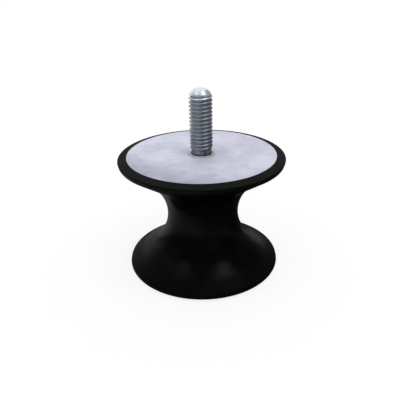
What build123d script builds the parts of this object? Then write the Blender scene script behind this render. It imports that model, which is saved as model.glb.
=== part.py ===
from build123d import *
import math
import os

# Bobbin vibration mount with a stud on top and a tapped hole underneath.
#
# A waisted rubber body is bonded between two round steel plates and wraps round
# their edges. The top plate holds a stud, whose head sits in the rubber and whose
# collar fills the plate's hole. The bottom plate holds a blind tapped insert in the
# same way. Nothing moves: the rubber itself is the spring.
#
# Millimetres. The origin is the centre of the bottom face, and +Z runs up the axis
# towards the stud's tip. Threads are drawn as plain cylinders: the stud at its
# outside diameter, and the tapped hole at its core diameter.

# Body and plates
body_height = 44.0  # between the outer faces of the two plates
plate_diameter = 54.0
plate_thickness = 2.5
plate_edge_round = 0.3  # on the outer face of each plate

# Rubber
rim_width = 3.1  # rubber outside the plate's edge, before its corner is rounded
rim_drop = 0.7  # the rim's outer edge lies this far below the plate's face
rim_height = 1.65  # side of the rim, along the axis
rim_taper = 0.4  # how far the rim's side leans in
rim_edge_round = 0.5  # between the rim's end face and its side
flank_edge_round = 1.0  # between the rim's side and the flank
flank_length = 10.4  # straight run of the flank, from the rim to the waist's arc
waist_diameter = 27.2

# Stud, M8 x 1.25
stud_thread_diameter = 8.0
stud_length = 21.4  # above the plate's face
stud_neck_diameter = 7.0  # plain neck under the thread
stud_neck_length = 1.4  # above the collar
stud_tip_chamfer = 1.8
stud_collar_diameter = 9.3  # fills the hole in the top plate
stud_collar_rise = 0.3  # how far the collar stands above the plate's face
stud_head_diameter = 16.0
stud_head_thickness = 2.5
stud_head_round = 0.5

# Tapped insert, M8 x 1.25
core_diameter = 6.8
tapped_depth = 9.5  # from the bottom face to the start of the drill point
drill_point_angle = 118.0
insert_mouth_diameter = 8.6
insert_collar_diameter = 12.0  # fills the hole in the bottom plate
insert_body_diameter = 15.0
insert_end_wall = 1.5  # metal beyond the drill point

# Groove round each collar, where the plate's hole is eased
hole_ease = 0.25

same_place = 1e-6  # two lengths closer than this are the same

# Worked out from the sizes above
plate_radius = plate_diameter / 2
rim_radius = plate_radius + rim_width
flank_radius = rim_radius - rim_taper  # where the rim's side meets the flank
waist_radius = waist_diameter / 2
mid_height = body_height / 2
flank_start = rim_drop + rim_height  # height of that edge above the bottom face
drill_point_length = core_diameter / 2 / math.tan(math.radians(drill_point_angle / 2))
insert_length = tapped_depth + drill_point_length + insert_end_wall


def turned(*outline):
    """A solid turned about the Z axis from an outline of (radius, height) points."""
    points = [(radius, 0, height) for radius, height in outline]
    return revolve(make_face(Polyline(*points, close=True)), Axis.Z)


def rounded_end(solid, direction, radius):
    """The solid with the outer edge of its end face rounded, on the side that direction gives."""
    end = solid.faces().sort_by(Axis.Z)[-1 if direction > 0 else 0]
    edge = end.edges().sort_by(SortBy.LENGTH)[-1]
    return fillet(edge, radius)


def waist_arc():
    """Centre radius, arc radius and half angle of the arc that joins the two straight flanks."""
    reach = flank_radius - waist_radius
    rise = mid_height - flank_start
    radius = (reach**2 + rise**2 - flank_length**2) / (2 * reach)
    centre = waist_radius + radius
    towards_rim = math.atan2(rise, flank_radius - centre)
    half_angle = math.pi - towards_rim - math.atan2(flank_length, radius)
    return centre, radius, half_angle


def rounded_corners(section, corner_radius, rounding):
    """The half section with its corners at this distance from the axis rounded."""
    corners = [v for v in section.vertices() if math.isclose(v.X, corner_radius, abs_tol=same_place)]
    return fillet(corners, rounding)


def rubber_body(stud, insert_outside):
    """The moulded rubber: waist, flanks and rims, moulded round the stud's head and the insert."""
    centre, radius, half_angle = waist_arc()
    half_outline = [
        (0, plate_thickness),
        (plate_radius, plate_thickness),
        (plate_radius, plate_edge_round),
        (rim_radius, rim_drop),
        (flank_radius, flank_start),
        (centre - radius * math.cos(half_angle), mid_height - radius * math.sin(half_angle)),
    ]
    lower = [Vector(x, 0, height) for x, height in half_outline]
    upper = [Vector(x, 0, body_height - height) for x, height in reversed(half_outline)]
    waist = ThreePointArc(lower[-1], (waist_radius, 0, mid_height), upper[0])
    section = make_face(Curve() + [Polyline(*upper, *lower), waist])
    section = rounded_corners(section, rim_radius, rim_edge_round)
    section = rounded_corners(section, flank_radius, flank_edge_round)
    return revolve(section, Axis.Z) - stud - insert_outside


def plate(outer_face, inwards, hole_diameter):
    """A steel disc with its outer face at the height outer_face; inwards is +1 or -1."""
    hole_radius = hole_diameter / 2
    inner_face = outer_face + inwards * plate_thickness
    disc = turned(
        (hole_radius, inner_face),
        (plate_radius, inner_face),
        (plate_radius, outer_face),
        (hole_radius + hole_ease, outer_face),
        (hole_radius, outer_face + inwards * hole_ease),
    )
    return rounded_end(disc, -inwards, plate_edge_round)


def threaded_stud():
    """The stud: head in the rubber, collar in the plate, plain neck, thread and chamfered tip."""
    head_end = body_height - plate_thickness - stud_head_thickness
    plate_inside = body_height - plate_thickness
    collar_top = body_height + stud_collar_rise
    neck_end = collar_top + stud_neck_length
    tip = body_height + stud_length
    thread_radius = stud_thread_diameter / 2
    neck_radius = stud_neck_diameter / 2
    stud = turned(
        (0, head_end),
        (stud_head_diameter / 2, head_end),
        (stud_head_diameter / 2, plate_inside),
        (stud_collar_diameter / 2, plate_inside),
        (stud_collar_diameter / 2, collar_top),
        (neck_radius, collar_top),
        (neck_radius, neck_end),
        (thread_radius, neck_end + thread_radius - neck_radius),
        (thread_radius, tip - stud_tip_chamfer),
        (thread_radius - stud_tip_chamfer, tip),
        (0, tip),
    )
    return rounded_end(stud, -1, stud_head_round)


def insert_blank():
    """The insert before it is drilled: collar in the plate and body in the rubber."""
    return turned(
        (0, 0),
        (insert_collar_diameter / 2, 0),
        (insert_collar_diameter / 2, plate_thickness),
        (insert_body_diameter / 2, plate_thickness),
        (insert_body_diameter / 2, insert_length),
        (0, insert_length),
    )


def tapped_hole():
    """The blind hole in the insert: eased mouth, core diameter and drill point."""
    core_radius = core_diameter / 2
    mouth_radius = insert_mouth_diameter / 2
    return turned(
        (0, 0),
        (mouth_radius, 0),
        (core_radius, mouth_radius - core_radius),
        (core_radius, tapped_depth),
        (0, tapped_depth + drill_point_length),
    )


def main():
    stud = threaded_stud()
    blank = insert_blank()
    nodes = {
        "rubber_body": rubber_body(stud, blank),
        "top_plate": plate(body_height, -1, stud_collar_diameter),
        "threaded_stud": stud,
        "bottom_plate": plate(0, 1, insert_collar_diameter),
        "tapped_insert": blank - tapped_hole(),
    }
    os.makedirs("parts", exist_ok=True)
    for name, solid in nodes.items():
        export_step(solid, f"parts/{name}.step")


main()
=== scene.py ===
"""Bobbin vibration mount: the finished look of its rubber, plates, stud and insert.

The mount stands in a plain white studio.
"""

import math

import bpy
from bpy.props import FloatProperty, FloatVectorProperty, IntProperty, PointerProperty
from mathutils import Matrix, Vector


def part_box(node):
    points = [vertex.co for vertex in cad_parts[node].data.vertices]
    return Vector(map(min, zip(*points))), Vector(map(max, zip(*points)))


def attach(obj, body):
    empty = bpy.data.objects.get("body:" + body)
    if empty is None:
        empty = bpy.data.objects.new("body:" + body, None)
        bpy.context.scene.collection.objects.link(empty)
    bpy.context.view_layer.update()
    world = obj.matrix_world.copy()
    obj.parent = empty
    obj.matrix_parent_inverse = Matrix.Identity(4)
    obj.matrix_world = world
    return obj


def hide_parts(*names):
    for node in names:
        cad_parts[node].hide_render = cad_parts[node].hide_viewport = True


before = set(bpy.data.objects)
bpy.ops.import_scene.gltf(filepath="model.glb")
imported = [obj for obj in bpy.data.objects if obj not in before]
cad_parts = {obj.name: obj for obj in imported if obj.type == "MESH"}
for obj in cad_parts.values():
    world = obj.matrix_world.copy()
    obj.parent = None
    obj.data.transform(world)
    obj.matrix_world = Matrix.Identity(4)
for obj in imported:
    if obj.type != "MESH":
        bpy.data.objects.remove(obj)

bl_info = {
    "name": "Bobbin vibration mount",
    "version": (1, 0, 0),
    "blender": (4, 5, 0),
    "location": "3D View > Sidebar > Mount",
    "description": "Moulds, turns and threads the pieces of a waisted rubber mount and lights them",
    "category": "Object",
}

MM = 0.001
FULL_TURN = 2 * math.pi
WELD = 1e-7  # points closer than this are one
SHARPEST_SMOOTH = math.radians(32)  # edges that turn more than this stay crisp

# the thread's form
THREAD_DEPTH = 0.57  # from the stud's crest to its root, as a share of the pitch
THREAD_FLANK = math.radians(30)  # how far each side of a groove leans from the level
GROOVE_ROUND = 0.05 * MM  # depth of the bevels at a groove's edge and at its root
GROOVE_ROOT = 0.55  # width of a groove's floor, as a share of its width just above
GROOVE_PAST = 0.3 * MM  # how far the cutter reaches past the crest
GROOVE_GAP = 0.03 * MM  # kept between one turn of the cutter and the next, on either side
GROOVE_WIDENING = 0.02 * MM  # how much either side of the cutter widens past the crest
TAP_SHORT = 0.2  # how far the insert's groove ends below the drill point, as a share of the pitch

# the studio
FLOOR_DROP = 0.02 * MM  # keeps the floor clear of the bottom plate
FLOOR_WHITE = (0.94, 0.94, 0.94)
EVEN_LIGHT = (0.95, 0.97, 1.0)  # falls on dull surfaces from all round
LAMP_DISTANCE = 0.8  # from the middle of the mount
LAMP_WIDTH = 0.2  # side of a softbox
NEAREST_SEEN = 5 * MM  # the camera shows nothing closer than this

# ---------------------------------------------------------------- sizes taken from the frame

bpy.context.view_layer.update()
BASE = 0.0
PLATE_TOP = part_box("top_plate")[1].z  # outer face of the top plate
PLATE_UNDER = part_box("top_plate")[0].z
BASE_PLATE_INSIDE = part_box("bottom_plate")[1].z
PLATE_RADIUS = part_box("top_plate")[1].x
RUBBER_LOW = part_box("rubber_body")[0].z
HEAD_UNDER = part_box("threaded_stud")[0].z
HEAD_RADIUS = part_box("threaded_stud")[1].x
STUD_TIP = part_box("threaded_stud")[1].z
INSERT_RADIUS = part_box("tapped_insert")[1].x
INSERT_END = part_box("tapped_insert")[1].z
MID_HEIGHT = PLATE_TOP / 2


# ---------------------------------------------------------------- what a user may change

def length(name, description, millimetres):
    """A length property in metres, with its default given in millimetres."""
    return FloatProperty(name=name, description=description, default=millimetres * MM, min=0,
                         unit="LENGTH", precision=5)


def colour(name, description, rgb):
    """A colour property."""
    return FloatVectorProperty(name=name, description=description, default=rgb, size=3,
                               min=0, max=1, subtype="COLOR")


class RubberSizes(bpy.types.PropertyGroup):
    """Sizes of the moulded rubber that the frame's boxes don't give."""

    waist_diameter: length("Waist", "Diameter of the rubber at its waist", 27.2)
    rim_width: length("Rim width", "Rubber outside the plate's edge, before its corner is rounded",
                      3.1)
    rim_drop: length("Rim drop", "How far the rim's outer edge lies below the plate's face", 0.7)
    rim_side: length("Rim side", "Height of the rim's side", 1.65)
    rim_taper: length("Rim taper", "How far the rim's side leans in", 0.4)
    rim_round: length("Rim round", "Rounding between the rim's end face and its side", 0.5)
    flank_round: length("Flank round", "Rounding between the rim's side and the flank", 1.0)
    flank_length: length("Flank length", "Straight run of the flank from the rim", 10.4)
    lip: length("Lip", "How far a thin lip of rubber reaches over the plate's rounded edge", 0.26)
    steps: IntProperty(name="Steps", description="Faces round the rubber", default=256, min=32)


class ThreadSizes(bpy.types.PropertyGroup):
    """The metric thread that the stud and the insert share."""

    diameter: length("Diameter", "Outside diameter of the thread", 8.0)
    pitch: length("Pitch", "Height that one turn climbs", 1.25)
    steps: IntProperty(name="Steps", description="Faces in one turn", default=96, min=24)


class StudSizes(bpy.types.PropertyGroup):
    """Sizes of the stud that the frame's boxes don't give."""

    collar_diameter: length("Collar", "Diameter of the collar in the plate's hole", 9.3)
    collar_rise: length("Collar rise", "How far the collar stands above the plate", 0.3)
    neck_diameter: length("Neck", "Diameter of the plain neck under the thread", 7.0)
    neck_length: length("Neck length", "Height of the plain neck above the collar", 1.4)
    groove_start: length("Groove start", "Height above the plate where the thread's groove starts",
                         1.125)
    tip_length: length("Tip length", "Height of the tip above the full thread", 2.1)
    tip_diameter: length("Tip flat", "Diameter of the tip's flat end, before its edge is rounded",
                         4.8)
    tip_round: length("Tip round", "Rounding of the flat end's edge", 0.4)
    shoulder_diameter: length("Tip shoulder", "Diameter of the tip where it turns steeper", 7.0)
    shoulder_drop: length("Shoulder drop", "How far the shoulder lies below the tip", 1.1)
    shoulder_round: length("Shoulder round", "Rounding of the shoulder", 1.2)
    head_round: length("Head round", "Rounding of the head under the plate", 0.5)
    collar_round: length("Collar round", "Rounding of the collar's upper edge", 0.18)


class InsertSizes(bpy.types.PropertyGroup):
    """Sizes of the tapped insert that the frame's boxes don't give."""

    collar_diameter: length("Collar", "Diameter of the collar in the bottom plate's hole", 12.0)
    mouth_diameter: length("Mouth", "Diameter of the hole's eased mouth", 8.6)
    core_diameter: length("Core", "Diameter of the hole inside its thread", 6.8)
    tapped_depth: length("Tapped depth", "Depth to the start of the drill point", 9.5)
    point_angle: FloatProperty(name="Drill point", description="Angle of the drill's point",
                               default=math.radians(118), subtype="ANGLE")
    collar_round: length("Collar round", "Rounding of the collar's lower edge", 0.18)


class Finishes(bpy.types.PropertyGroup):
    """Colours of the rubber and the metals."""

    rubber: colour("Rubber", "Moulded black rubber", (0.0010, 0.0011, 0.0011))
    rubber_bloom: colour("Rubber bloom", "Where the rubber's surface has dulled",
                         (0.0022, 0.0023, 0.0018))
    rubber_end: colour("Rubber end face", "Duller rubber on the rims' end faces",
                       (0.0072, 0.0083, 0.0068))
    plate_pale: colour("Plate, pale", "Pale zinc on the plates, bluish", (0.735, 0.76, 0.875))
    plate_rosy: colour("Plate, rosy", "Pale zinc on the plates where it turns rosy",
                       (0.77, 0.755, 0.875))
    # the deep colour is both duller zinc in random clouds and the painted shade towards the plates'
    # front and left
    plate_deep_and_shade: colour("Plate, deep", "Duller zinc on the plates", (0.30, 0.30, 0.38))
    stud_pale: colour("Stud, pale", "Zinc on the stud, bluish", (0.37, 0.42, 0.49))
    stud_warm: colour("Stud, warm", "Zinc on the stud where it turns olive", (0.35, 0.365, 0.33))
    # painted light: a lighter colour for the grooves on the left side
    stud_groove_painted_light: colour("Stud, filled grooves", "Zinc low in the thread where it lies thick",
                        (0.34, 0.37, 0.42))
    # painted shade: the grooves are coloured darker than the crests
    stud_groove: colour("Stud, grooves", "Dull metal low in the thread", (0.16, 0.175, 0.20))
    # painted highlight: a near-white colour for the tip and the first turn's crests
    stud_tip_highlight: colour("Stud, bright", "Untouched zinc on the tip", (0.92, 0.97, 1.0))
    # dark patches on the neck, partly stains and partly painted contact shade, and painted shade
    # low on the thread's sides
    stud_foot_and_painted_shade: colour("Stud, foot",
                      "Dark stains on the plain neck, and grime low on the thread's sides",
                      (0.10, 0.095, 0.10))
    collar_face: colour("Collar, face", "Plain ring of metal on the collars' faces",
                        (0.58, 0.60, 0.70))
    collar_rim: colour("Collar, rim", "Dull line round the collars, where they meet the plates",
                       (0.50, 0.51, 0.55))


class StageSizes(bpy.types.PropertyGroup):
    """Where the camera stands, and the floor."""

    camera_back: length("Camera back", "How far in front of the mount's axis the camera stands",
                        145.19)
    camera_height: length("Camera height", "Height of the camera above the mount's base", 95.94)
    camera_pitch: FloatProperty(name="Camera pitch", description="How far the camera looks down",
                                default=math.radians(36.31), subtype="ANGLE")
    camera_yaw: FloatProperty(name="Camera yaw", description="How far the camera turns to +X",
                              default=math.radians(0.90), subtype="ANGLE")
    camera_roll: FloatProperty(name="Camera roll", description="How far the camera leans",
                               default=math.radians(-0.73), subtype="ANGLE")
    lens: FloatProperty(name="Lens", description="Focal length in millimetres", default=37.126,
                        subtype="DISTANCE_CAMERA")
    view_right: FloatProperty(name="View right", description="Shift of the view to the right",
                              default=-0.0239)
    view_up: FloatProperty(name="View up", description="Shift of the view upwards", default=0.1907)
    floor_width: FloatProperty(name="Floor", description="Width of the floor", default=6.0,
                               unit="LENGTH")


class MountSettings(bpy.types.PropertyGroup):
    """Everything about the mount that a user may change."""

    rubber: PointerProperty(type=RubberSizes)
    thread: PointerProperty(type=ThreadSizes)
    stud: PointerProperty(type=StudSizes)
    insert: PointerProperty(type=InsertSizes)
    finishes: PointerProperty(type=Finishes)
    stage: PointerProperty(type=StageSizes)


# ---------------------------------------------------------------- modelling by hand

def select_nothing():
    """Leaves edit mode and deselects every object."""
    if bpy.context.object and bpy.context.object.mode != "OBJECT":
        bpy.ops.object.mode_set(mode="OBJECT")
    bpy.ops.object.select_all(action="DESELECT")


def work_on(piece):
    """Makes this the one selected and active object."""
    select_nothing()
    piece.select_set(True)
    bpy.context.view_layer.objects.active = piece


def draw_outline(name, points, closed=False):
    """A new piece: a chain of edges through (radius, height) points, drawn in the XZ plane."""
    select_nothing()
    bpy.ops.mesh.primitive_plane_add(size=MM, location=(0, 0, 0))
    piece = bpy.context.object
    piece.name = name
    piece.data.name = name
    bpy.ops.object.mode_set(mode="EDIT")
    bpy.ops.mesh.merge(type="CENTER")
    first = points[0]
    bpy.ops.transform.translate(value=(first[0], 0, first[1]))
    for here, there in zip(points, points[1:]):
        step = (there[0] - here[0], 0, there[1] - here[1])
        bpy.ops.mesh.extrude_region_move(TRANSFORM_OT_translate={"value": step})
    if closed:
        step = (first[0] - points[-1][0], 0, first[1] - points[-1][1])
        bpy.ops.mesh.extrude_region_move(TRANSFORM_OT_translate={"value": step})
        bpy.ops.mesh.select_all(action="SELECT")
        bpy.ops.mesh.remove_doubles(threshold=WELD)
    return piece


def close_up():
    """In edit mode: welds the seam and the poles, and turns every face outwards."""
    bpy.ops.mesh.select_all(action="SELECT")
    bpy.ops.mesh.remove_doubles(threshold=WELD)
    bpy.ops.mesh.dissolve_degenerate(threshold=WELD)
    bpy.ops.mesh.select_all(action="SELECT")
    bpy.ops.mesh.normals_make_consistent(inside=False)


def turn(name, points, steps):
    """A piece turned about Z from an outline that starts and ends on the axis."""
    piece = draw_outline(name, points)
    bpy.ops.mesh.select_all(action="SELECT")
    bpy.ops.mesh.spin(steps=steps, angle=FULL_TURN, center=(0, 0, 0), axis=(0, 0, 1))
    close_up()
    bpy.ops.object.mode_set(mode="OBJECT")
    return piece


def rounded(corners, arc_step):
    """An outline through (radius, height, rounding) corners.

    Each rounding is a tangent arc of at least two edges, none turning more than arc_step.
    """
    points = []
    for i, (x, z, rounding) in enumerate(corners):
        here = Vector((x, z))
        if not rounding:
            points.append(here)
            continue
        before = (Vector(corners[i - 1][:2]) - here).normalized()
        after = (Vector(corners[i + 1][:2]) - here).normalized()
        between = before.angle(after)
        reach = rounding / math.tan(between / 2)
        centre = here + (before + after).normalized() * rounding / math.sin(between / 2)
        start = here + before * reach - centre
        sweep = start.angle_signed(here + after * reach - centre)
        count = max(2, math.ceil(abs(sweep) / arc_step))
        for k in range(count + 1):
            points.append(centre + Matrix.Rotation(-sweep * k / count, 2) @ start)
    return points


def cut_away(piece, cutter):
    """Takes the cutter's shape out of the piece, and removes the cutter."""
    work_on(piece)
    cut = piece.modifiers.new("Cut", "BOOLEAN")
    cut.operation = "DIFFERENCE"
    cut.solver = "EXACT"
    cut.object = cutter
    bpy.ops.object.modifier_apply(modifier=cut.name)
    bpy.data.objects.remove(cutter)
    bpy.ops.object.mode_set(mode="EDIT")
    bpy.ops.mesh.select_all(action="SELECT")
    bpy.ops.mesh.quads_convert_to_tris(quad_method="BEAUTY", ngon_method="BEAUTY")
    close_up()
    bpy.ops.object.mode_set(mode="OBJECT")


def smooth(piece):
    """Shades the piece smoothly, apart from its crisp edges."""
    work_on(piece)
    bpy.ops.object.shade_smooth_by_angle(angle=SHARPEST_SMOOTH)


def hand_in(piece, slot, finish, *nodes):
    """Gives a finished piece its finish, and lets it stand for its CAD nodes. Its slot is not used.
    """
    piece.data.materials.clear()
    piece.data.materials.append(finish)
    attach(piece, "root")
    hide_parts(*nodes)


# ---------------------------------------------------------------- node sheets

class Wire:
    """A node's output. Arithmetic on it adds Math nodes, so a pattern reads as a sum."""

    def __init__(self, sheet, socket):
        self.sheet = sheet
        self.socket = socket

    def maths(self, operation, first, second):
        """A Math node on two numbers or wires."""
        return self.sheet.add("ShaderNodeMath", {"operation": operation}, {0: first, 1: second})

    def __add__(self, other):
        return self.maths("ADD", self, other)

    def __radd__(self, other):
        return self.maths("ADD", other, self)

    def __sub__(self, other):
        return self.maths("SUBTRACT", self, other)

    def __rsub__(self, other):
        return self.maths("SUBTRACT", other, self)

    def __mul__(self, other):
        return self.maths("MULTIPLY", self, other)

    def __rmul__(self, other):
        return self.maths("MULTIPLY", other, self)


class Sheet:
    """The nodes of one material or of the world."""

    def __init__(self, tree):
        self.tree = tree
        tree.nodes.clear()

    def add(self, kind, settings=None, sockets=None, output=0):
        """Adds a node: its settings first, then the values or wires of its sockets."""
        node = self.tree.nodes.new(kind)
        for key, value in (settings or {}).items():
            setattr(node, key, value)
        for key, value in (sockets or {}).items():
            if isinstance(value, Wire):
                self.tree.links.new(value.socket, node.inputs[key])
            else:
                node.inputs[key].default_value = value
        return Wire(self, node.outputs[output]) if node.outputs else node

    def mix(self, share, first, second):
        """A colour between two colours."""
        def opaque(value):
            return value if isinstance(value, Wire) else (*value, 1)
        return self.add("ShaderNodeMix", {"data_type": "RGBA"},
                        {"Factor": share, "A": opaque(first), "B": opaque(second)}, "Result")

    def paint(self, kind, rgb):
        """A shader of one colour all over."""
        return self.add(kind, None, {"Color": (*rgb, 1)})

    def blend(self, share, first, second):
        """A shader between two shaders."""
        return self.add("ShaderNodeMixShader", None, {0: share, 1: first, 2: second})

    def noise(self, place, size, detail, roughness=0.5, stretch=None):
        """Noise whose patches are about this size in metres."""
        if stretch:
            place = self.add("ShaderNodeMapping", None, {"Vector": place, "Scale": stretch})
        sockets = {"Vector": place, "Scale": 1 / size, "Detail": detail, "Roughness": roughness}
        return self.add("ShaderNodeTexNoise", None, sockets, "Fac")

    def bump(self, strength, depth, height):
        """A bumpy normal from a height. Depth is the height's reach in metres."""
        return self.add("ShaderNodeBump", None,
                        {"Strength": strength, "Distance": depth, "Height": height})

    def ramp(self, value, low, high):
        """Spreads the stretch of a value from low to high over 0 to 1, smoothly."""
        return self.add("ShaderNodeMapRange", {"interpolation_type": "SMOOTHSTEP"},
                        {"Value": value, "From Min": low, "From Max": high})

    def here(self):
        """Object coordinates, in metres."""
        return self.add("ShaderNodeTexCoord", output="Object")

    def vector_maths(self, operation, sockets, output):
        """A Vector Math node, with a place, a direction or a number as its output."""
        return self.add("ShaderNodeVectorMath", {"operation": operation}, sockets, output)

    def scaled(self, place, factors):
        """A place or direction, stretched by a factor along each axis."""
        return self.vector_maths("MULTIPLY", {0: place, 1: factors}, "Vector")

    def moved(self, place, step):
        """A place, moved by a step."""
        return self.vector_maths("ADD", {0: place, 1: step}, "Vector")

    def length(self, place):
        """How long a place or direction is."""
        return self.vector_maths("LENGTH", {0: place}, "Value")

    def height(self, place):
        """The Z of a place or direction."""
        return self.add("ShaderNodeSeparateXYZ", None, {"Vector": place}, "Z")

    def along(self, place, axis):
        """How far a place or direction reaches along an axis."""
        return self.vector_maths("DOT_PRODUCT", {0: place, 1: axis}, "Value")


def new_finish(name):
    """An empty material and its node sheet."""
    material = bpy.data.materials.new(name)
    material.use_nodes = True
    return material, Sheet(material.node_tree)


def finish_off(sheet, surface):
    """Adds the shader, with these values or wires on its sockets, and the output."""
    shader = sheet.add("ShaderNodeBsdfPrincipled", None, surface)
    sheet.add("ShaderNodeOutputMaterial", None, {"Surface": shader})


# ---------------------------------------------------------------- finishes

def rubber_finish(colours):
    """Moulded black rubber, satin and faintly uneven.

    It is duller in patches, towards the rims and on its end faces.
    """
    material, sheet = new_finish("moulded_rubber")
    here = sheet.here()
    height = sheet.height(here)
    from_middle = sheet.add("ShaderNodeMath", {"operation": "ABSOLUTE"}, {0: height - MID_HEIGHT})
    end_face = sheet.ramp(from_middle, MID_HEIGHT - 0.85 * MM, MID_HEIGHT - 0.65 * MM)
    from_axis = sheet.length(sheet.scaled(here, (1, 1, 0)))
    dull = sheet.ramp(from_axis, 23 * MM, 27 * MM)
    bloom = sheet.ramp(sheet.noise(here, 9 * MM, 4), 0.40, 0.70)
    grain = sheet.noise(here, 0.25 * MM, 4, 0.6)
    ripple = sheet.noise(here, 4.5 * MM, 3)
    bump = sheet.bump(strength=0.3, depth=0.30 * MM, height=0.12 * grain + 0.88 * ripple)
    body = sheet.mix(bloom, colours.rubber, colours.rubber_bloom)
    finish_off(sheet, {
        "Base Color": sheet.mix(end_face, body, colours.rubber_end),
        "Roughness": 0.20 + 0.06 * bloom + 0.05 * grain + 0.25 * dull + 0.15 * end_face,
        "Normal": bump,
        "IOR": 1.13,
    })
    return material


def plate_finish(colours):
    """Zinc on rolled sheet: pale, clouded blue and rose, with hair-fine marks.

    It is painted darker towards its front and its left, as painted shade.
    """
    material, sheet = new_finish("zinc_plate")
    here = sheet.here()
    # painted shade: the plate's colour is darker towards its front left and towards its front
    painted_shade_front_left = sheet.ramp(sheet.along(here, (0.62, 0.78, 0)), -25 * MM, -13 * MM)
    painted_shade_front = sheet.ramp(sheet.along(here, (-0.12, 0.99, 0)), -27 * MM, -13 * MM)
    clouds = sheet.ramp(sheet.noise(here, 10 * MM, 3, 0.45), 0.34, 0.66)
    tint = sheet.ramp(sheet.noise(here, 7 * MM, 2, 0.4), 0.36, 0.64)
    wisps = sheet.ramp(sheet.noise(here, 3.2 * MM, 3), 0.30, 0.70)
    grain = sheet.noise(here, 0.12 * MM, 2)
    marks = sheet.noise(here, 0.5 * MM, 2, 0.5, (0.06, 1.0, 1.0))
    # random clouds and wisps, mixed with the painted shade towards the front and left
    tone_and_painted_shade = 0.38 * painted_shade_front_left + 0.26 * painted_shade_front + 0.22 * clouds + 0.14 * wisps
    bump = sheet.bump(strength=0.12, depth=0.05 * MM, height=0.6 * grain + 0.4 * marks)
    pale = sheet.mix(tint, colours.plate_pale, colours.plate_rosy)
    finish_off(sheet, {
        "Base Color": sheet.mix(tone_and_painted_shade, colours.plate_deep_and_shade, pale),
        "Metallic": 0.35,
        "Roughness": 0.54 - 0.04 * clouds + 0.05 * marks,
        "Normal": bump,
    })
    return material


def thread_finish(colours, crest, groove, face, rim):
    """Zinc on rolled thread: bluish, olive in places, with a painted highlight on the tip.

    The grooves are painted darker than the crests, as painted shade, and painted lighter on the
    left, as painted light.
    The stud's neck is darker in patches low down, partly stains and partly painted contact shade by
    the collar, and painted shade lies low on its thread's sides.
    Crest and groove are the thread's radii. The plain collar's face reaches from the radius face
    to its rim.
    """
    material, sheet = new_finish("zinc_thread")
    here = sheet.here()
    height = sheet.height(here)
    from_axis = sheet.length(sheet.scaled(here, (1, 1, 0)))
    warm = sheet.ramp(sheet.noise(here, 3.0 * MM, 2), 0.48, 0.72)
    grain = sheet.noise(here, 0.10 * MM, 3)
    patches = sheet.noise(here, 1.2 * MM, 3)
    crests = sheet.ramp(from_axis, groove, crest)
    # painted highlight: the tip's dome and the crests of its first turn are painted near white
    dome = sheet.ramp(height, STUD_TIP - 1.9 * MM, STUD_TIP - 1.5 * MM)
    first_turn = sheet.ramp(height, STUD_TIP - 2.9 * MM, STUD_TIP - 2.4 * MM)
    tip = dome + first_turn * crests * (1 - dome)
    collar = sheet.ramp(from_axis, face, face + 0.2 * MM)
    edge = sheet.ramp(from_axis, rim - 0.20 * MM, rim - 0.08 * MM)
    bare = sheet.mix(warm, colours.stud_pale, colours.stud_warm)
    # painted light: the grooves are painted lighter on the left
    painted_light_left = sheet.ramp(sheet.along(here, (-1, 0, 0)), -0.6 * MM, 1.0 * MM)
    low = sheet.mix(painted_light_left, colours.stud_groove, colours.stud_groove_painted_light)
    # painted shade: the grooves take the darker colour and the crests the bare zinc
    thread = sheet.mix(0.7 * crests + 0.3 * patches, low, bare)
    # dark patches low on the neck: partly stains, partly painted contact shade by the collar
    stains = sheet.ramp(sheet.noise(here, 1.3 * MM, 2), 0.64, 0.42)
    above_plate = sheet.ramp(height, PLATE_UNDER, PLATE_TOP)
    foot = above_plate * sheet.ramp(height, PLATE_TOP + 2.0 * MM, PLATE_TOP + 1.3 * MM)
    # painted shade: the thread is darker low on its left and right sides
    beside = sheet.ramp(sheet.length(sheet.scaled(here, (1, 0, 0))), 2.0 * MM, 3.6 * MM)
    low_down = sheet.ramp(height, PLATE_TOP + 11 * MM, PLATE_TOP + 4 * MM)
    painted_shade_low_sides = 0.7 * above_plate * beside * low_down
    stained_and_shaded = sheet.mix(foot * stains, thread, colours.stud_foot_and_painted_shade)
    shank = sheet.mix(painted_shade_low_sides, stained_and_shaded, colours.stud_foot_and_painted_shade)
    ring = sheet.mix(edge, colours.collar_face, colours.collar_rim)
    bump = sheet.bump(strength=0.15, depth=0.03 * MM, height=grain)
    finish_off(sheet, {
        "Base Color": sheet.mix(collar, sheet.mix(tip, shank, colours.stud_tip_highlight), ring),
        "Metallic": 0.75 + 0.10 * tip - 0.40 * collar,
        "Roughness": 0.36 + 0.10 * patches - 0.04 * tip + 0.12 * collar,
        "Normal": bump,
    })
    return material


# ---------------------------------------------------------------- pieces

def half_rubber(sizes):
    """The rubber's lower half as (radius, height, rounding) corners, and the waist's corner.

    The waist's rounding is the one arc that is tangent to both flanks.
    """
    rim_radius = PLATE_RADIUS + sizes.rim_width
    flank_radius = rim_radius - sizes.rim_taper
    flank_start = sizes.rim_drop + sizes.rim_side
    waist_radius = sizes.waist_diameter / 2
    reach = flank_radius - waist_radius
    rise = MID_HEIGHT - flank_start
    arc = (reach**2 + rise**2 - sizes.flank_length**2) / (2 * reach)
    centre = waist_radius + arc
    towards_rim = math.atan2(rise, flank_radius - centre)
    half_angle = math.pi - towards_rim - math.atan2(sizes.flank_length, arc)
    waist_corner = (centre - arc / math.cos(half_angle), MID_HEIGHT, arc)
    return [
        (PLATE_RADIUS, BASE_PLATE_INSIDE, 0),
        (PLATE_RADIUS, RUBBER_LOW, 0),
        (PLATE_RADIUS - sizes.lip, BASE, 0),
        (rim_radius, sizes.rim_drop, sizes.rim_round),
        (flank_radius, flank_start, sizes.flank_round),
    ], waist_corner


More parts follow.
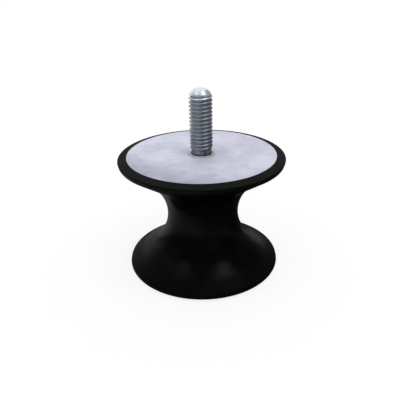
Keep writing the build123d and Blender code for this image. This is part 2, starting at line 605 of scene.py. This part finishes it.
class MOUNT_OT_rubber(bpy.types.Operator):
    """Mould the waisted rubber with its rims"""

    bl_idname = "mount.rubber"
    bl_label = "Mould the rubber"

    def execute(self, context):
        settings = context.scene.mount
        half, waist = half_rubber(settings.rubber)
        upper = [(x, PLATE_TOP - z, rounding) for x, z, rounding in reversed(half)]
        outline = [
            (0, INSERT_END, 0),
            (INSERT_RADIUS, INSERT_END, 0),
            (INSERT_RADIUS, BASE_PLATE_INSIDE, 0),
            *half,
            waist,
            *upper,
            (HEAD_RADIUS, PLATE_UNDER, 0),
            (HEAD_RADIUS, HEAD_UNDER, 0),
            (0, HEAD_UNDER, 0),
        ]
        points = rounded(outline, arc_step=math.radians(4))
        piece = turn("moulded_rubber", points, settings.rubber.steps)
        smooth(piece)
        hand_in(piece, "rubber", rubber_finish(settings.finishes), "rubber_body")
        return {"FINISHED"}


def thread_groove(name, root, crest, pitch, turns, start, steps):
    """A closed helical cutter, from the height start up. It is narrow at the radius root.

    The groove opens at the radius crest, outwards on a screw and inwards in a tapped hole.
    """
    outwards = 1 if crest > root else -1
    past = crest + outwards * GROOVE_PAST
    widest = pitch / 2 - GROOVE_GAP
    flat = pitch / 8
    flank_depth = abs(crest - root) - 2 * GROOVE_ROUND
    half_profile = [
        (root, flat * GROOVE_ROOT),
        (root + outwards * GROOVE_ROUND, flat),
        (crest - outwards * GROOVE_ROUND, flat + flank_depth * math.tan(THREAD_FLANK)),
        (crest, widest - GROOVE_WIDENING),
        (past, widest),
    ]
    profile = [(x, start - z) for x, z in half_profile]
    profile += [(x, start + z) for x, z in reversed(half_profile)]
    piece = draw_outline(name, profile, closed=True)
    bpy.ops.object.mode_set(mode="OBJECT")
    screw = piece.modifiers.new("Helix", "SCREW")
    screw.axis = "Z"
    screw.angle = FULL_TURN
    screw.screw_offset = pitch
    screw.iterations = turns
    screw.steps = steps
    screw.render_steps = steps
    bpy.ops.object.modifier_apply(modifier=screw.name)
    bpy.ops.object.mode_set(mode="EDIT")
    bpy.ops.mesh.select_mode(type="EDGE")
    bpy.ops.mesh.select_all(action="DESELECT")
    bpy.ops.mesh.select_non_manifold()
    bpy.ops.mesh.fill_holes(sides=0)
    bpy.ops.mesh.select_mode(type="VERT")
    close_up()
    bpy.ops.object.mode_set(mode="OBJECT")
    return piece


class MOUNT_OT_stud(bpy.types.Operator):
    """Turn the stud and roll its thread"""

    bl_idname = "mount.stud"
    bl_label = "Turn the stud"

    def execute(self, context):
        settings = context.scene.mount
        sizes, thread = settings.stud, settings.thread
        crest = thread.diameter / 2
        neck = sizes.neck_diameter / 2
        collar = sizes.collar_diameter / 2
        collar_top = PLATE_TOP + sizes.collar_rise
        neck_top = collar_top + sizes.neck_length
        outline = rounded([
            (0, HEAD_UNDER, 0),
            (HEAD_RADIUS, HEAD_UNDER, sizes.head_round),
            (HEAD_RADIUS, PLATE_UNDER, 0),
            (collar, PLATE_UNDER, 0),
            (collar, collar_top, sizes.collar_round),
            (neck, collar_top, 0),
            (neck, neck_top, 0),
            (crest, neck_top + crest - neck, 0),
            (crest, STUD_TIP - sizes.tip_length, 0),
            (sizes.shoulder_diameter / 2, STUD_TIP - sizes.shoulder_drop, sizes.shoulder_round),
            (sizes.tip_diameter / 2, STUD_TIP, sizes.tip_round),
            (0, STUD_TIP, 0),
        ], arc_step=math.radians(12))
        piece = turn("threaded_stud_m8", outline, thread.steps)
        root = crest - THREAD_DEPTH * thread.pitch
        start = PLATE_TOP + sizes.groove_start
        turns = math.ceil((STUD_TIP - start) / thread.pitch) + 1
        groove = thread_groove("stud_groove", root, crest, thread.pitch, turns, start,
                               thread.steps)
        cut_away(piece, groove)
        smooth(piece)
        finish = thread_finish(settings.finishes, crest, neck, crest, collar)
        hand_in(piece, "stud_steel", finish, "threaded_stud")
        return {"FINISHED"}


class MOUNT_OT_insert(bpy.types.Operator):
    """Turn the insert, drill it and tap its thread"""

    bl_idname = "mount.insert"
    bl_label = "Tap the insert"

    def execute(self, context):
        settings = context.scene.mount
        sizes, thread = settings.insert, settings.thread
        collar = sizes.collar_diameter / 2
        mouth = sizes.mouth_diameter / 2
        core = sizes.core_diameter / 2
        point = core / math.tan(sizes.point_angle / 2)
        outline = rounded([
            (0, sizes.tapped_depth + point, 0),
            (core, sizes.tapped_depth, 0),
            (core, mouth - core, 0),
            (mouth, BASE, 0),
            (collar, BASE, sizes.collar_round),
            (collar, BASE_PLATE_INSIDE, 0),
            (INSERT_RADIUS, BASE_PLATE_INSIDE, 0),
            (INSERT_RADIUS, INSERT_END, 0),
            (0, INSERT_END, 0),
        ], arc_step=math.radians(15))
        piece = turn("tapped_insert_m8", outline, thread.steps)
        root = thread.diameter / 2
        turns = int(sizes.tapped_depth / thread.pitch) + 1
        start = sizes.tapped_depth - (turns + TAP_SHORT) * thread.pitch
        groove = thread_groove("insert_groove", root, core, thread.pitch, turns, start,
                               thread.steps)
        cut_away(piece, groove)
        smooth(piece)
        finish = thread_finish(settings.finishes, core, root, mouth, collar)
        hand_in(piece, "stud_steel", finish, "tapped_insert")
        return {"FINISHED"}


class MOUNT_OT_plates(bpy.types.Operator):
    """Give both plates their zinc finish"""

    bl_idname = "mount.plates"
    bl_label = "Finish the plates"

    def execute(self, context):
        finish = plate_finish(context.scene.mount.finishes)
        for node in ("top_plate", "bottom_plate"):
            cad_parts[node].material_slots[0].material = finish
        return {"FINISHED"}


# ---------------------------------------------------------------- stage

def rays(sheet):
    """1 or 0 for rays from the camera, off shiny surfaces and through glass, in that order."""
    path = sheet.add("ShaderNodeLightPath").socket.node
    return [Wire(sheet, path.outputs[name])
            for name in ("Is Camera Ray", "Is Glossy Ray", "Is Transmission Ray")]


def floor_finish():
    """A white floor that keeps the mount's soft shadow and is plain white further off.

    Shiny surfaces mirror it as a dark floor, a little paler on the left, with white card to the
    left of the mount and, further out, to its front right, a small piece behind it on the right,
    and grey card in front.
    """
    material, sheet = new_finish("studio_floor")
    here = sheet.here()
    away = sheet.length(here)
    camera, mirrored, through = rays(sheet)
    plainness = 0.80 + 0.20 * sheet.ramp(away, 30 * MM, 100 * MM)
    near = 1 - sheet.ramp(away, 130 * MM, 210 * MM)
    left = near * sheet.ramp(sheet.along(here, (-0.95, -0.30, 0)), 0, 70 * MM)
    paler = sheet.ramp(sheet.along(here, (-1, 0, 0)), -25 * MM, 15 * MM)
    from_small_piece = sheet.length(sheet.moved(here, (-52 * MM, -72 * MM, 0)))
    small = 1 - sheet.ramp(from_small_piece, 12 * MM, 34 * MM)
    right = sheet.ramp(sheet.along(here, (0.80, -0.60, 0)), 60 * MM, 200 * MM)
    front = sheet.ramp(sheet.along(here, (0, -1, 0)), 20 * MM, 60 * MM)
    glint = 0.03 + 0.12 * paler + 0.75 * left + 0.50 * right + 0.70 * small + 0.30 * front
    lit = sheet.paint("ShaderNodeBsdfDiffuse", FLOOR_WHITE)
    black = sheet.paint("ShaderNodeEmission", (0, 0, 0))
    white = sheet.paint("ShaderNodeEmission", (1, 1, 1))
    shown = camera + through
    plain = sheet.blend(shown + glint * mirrored, black, white)
    floor = sheet.blend(plainness * shown + mirrored, lit, plain)
    sheet.add("ShaderNodeOutputMaterial", None, {"Surface": floor})
    return material


def light_world(scene):
    """A dim room with a white backdrop, a pale ceiling and two pale strips low on the backdrop.

    The backdrop stands behind the mount and to the left. The camera sees plain white all round,
    and dull surfaces get an even light.
    """
    scene.world = bpy.data.worlds.new("studio")
    scene.world.use_nodes = True
    sheet = Sheet(scene.world.node_tree)
    towards = sheet.add("ShaderNodeTexCoord", output="Generated")
    height = sheet.height(towards)
    behind = sheet.ramp(sheet.along(towards, (-0.32, 0.947, 0)), 0.45, 0.92)
    foot = sheet.ramp(height, 0.02, 0.22)
    top = sheet.ramp(height, 0.30, 0.66)
    backdrop = behind * foot * (1 - top)
    ceiling = 0.55 * sheet.ramp(sheet.along(towards, (-0.20, 0.42, 0.88)), 0.60, 0.95)
    left_strip = 0.5 * sheet.ramp(sheet.along(towards, (-0.46, 0.88, 0.03)), 0.955, 0.99)
    right_strip = 0.9 * sheet.ramp(sheet.along(towards, (0.46, 0.88, 0.03)), 0.955, 0.99)
    strips = (left_strip + right_strip) * (1 - foot)
    brightness = 0.12 + 0.88 * backdrop + ceiling * (1 - backdrop) + strips
    camera, mirrored, through = rays(sheet)
    even = sheet.paint("ShaderNodeBackground", EVEN_LIGHT)
    black = sheet.paint("ShaderNodeBackground", (0, 0, 0))
    white = sheet.paint("ShaderNodeBackground", (1, 1, 1))
    seen = sheet.blend(camera + brightness * (1 - camera), black, white)
    world = sheet.blend(camera + mirrored + through, even, seen)
    sheet.add("ShaderNodeOutputWorld", None, {"Surface": world})


def soft_lamp(name, towards, power):
    """A square softbox in the direction towards, seen from the mount, and facing it."""
    select_nothing()
    aim = Vector((0, 0, MID_HEIGHT))
    direction = Vector(towards).normalized()
    bpy.ops.object.light_add(type="AREA", location=aim + direction * LAMP_DISTANCE)
    lamp = bpy.context.object
    lamp.name = name
    lamp.rotation_euler = direction.to_track_quat("Z", "Y").to_euler()
    lamp.data.size = LAMP_WIDTH
    lamp.data.energy = power


class MOUNT_OT_stage(bpy.types.Operator):
    """Lay the floor, set the lamps and place the camera"""

    bl_idname = "mount.stage"
    bl_label = "Set the stage"

    def execute(self, context):
        scene = context.scene
        sizes = scene.mount.stage
        select_nothing()
        bpy.ops.mesh.primitive_plane_add(size=sizes.floor_width, location=(0, 0, -FLOOR_DROP))
        floor = context.object
        floor.name = "floor"
        floor.data.materials.append(floor_finish())
        light_world(scene)
        soft_lamp("lamp_right", towards=(0.38, -0.17, 0.91), power=0.75)
        soft_lamp("lamp_left", towards=(-0.44, -0.18, 0.88), power=0.2)
        self.place_camera(scene, sizes)
        scene.view_settings.view_transform = "Standard"
        return {"FINISHED"}

    def place_camera(self, scene, sizes):
        """Stands the camera at its place, turned by its yaw, pitch and roll."""
        pitch, yaw, roll = sizes.camera_pitch, sizes.camera_yaw, sizes.camera_roll
        ahead = Vector((math.sin(yaw) * math.cos(pitch), math.cos(yaw) * math.cos(pitch),
                        -math.sin(pitch)))
        level = Vector((math.cos(yaw), -math.sin(yaw), 0))
        upright = level.cross(ahead)
        right = math.cos(roll) * level + math.sin(roll) * upright
        up = math.cos(roll) * upright - math.sin(roll) * level
        bpy.ops.object.camera_add(location=(0, -sizes.camera_back, sizes.camera_height))
        camera = bpy.context.object
        camera.rotation_euler = Matrix((right, up, -ahead)).transposed().to_euler()
        camera.data.lens = sizes.lens
        camera.data.shift_x = sizes.view_right
        camera.data.shift_y = sizes.view_up
        camera.data.clip_start = NEAREST_SEEN
        scene.camera = camera


class MOUNT_PT_panel(bpy.types.Panel):
    """The steps that make the mount, in order"""

    bl_label = "Bobbin mount"
    bl_idname = "MOUNT_PT_panel"
    bl_space_type = "VIEW_3D"
    bl_region_type = "UI"
    bl_category = "Mount"

    def draw(self, context):
        for step in STEPS:
            self.layout.operator(step.bl_idname)
        for group in ("rubber", "thread", "stud", "insert", "finishes", "stage"):
            sizes = getattr(context.scene.mount, group)
            box = self.layout.box()
            box.label(text=group.capitalize())
            for name in sizes.__annotations__:
                box.prop(sizes, name)


STEPS = (MOUNT_OT_rubber, MOUNT_OT_plates, MOUNT_OT_stud, MOUNT_OT_insert, MOUNT_OT_stage)
CLASSES = (RubberSizes, ThreadSizes, StudSizes, InsertSizes, Finishes, StageSizes, MountSettings,
           *STEPS, MOUNT_PT_panel)


def register():
    for each in CLASSES:
        bpy.utils.register_class(each)
    bpy.types.Scene.mount = PointerProperty(type=MountSettings)


def unregister():
    del bpy.types.Scene.mount
    for each in reversed(CLASSES):
        bpy.utils.unregister_class(each)


def corners(box):
    """A box's two corners as plain lists."""
    return [list(corner) for corner in box]


def main():
    register()
    bpy.ops.mount.rubber()
    bpy.ops.mount.plates()
    bpy.ops.mount.stud()
    bpy.ops.mount.insert()
    bpy.ops.mount.stage()
    bpy.context.view_layer.update()


if __name__ == "__main__":
    main()
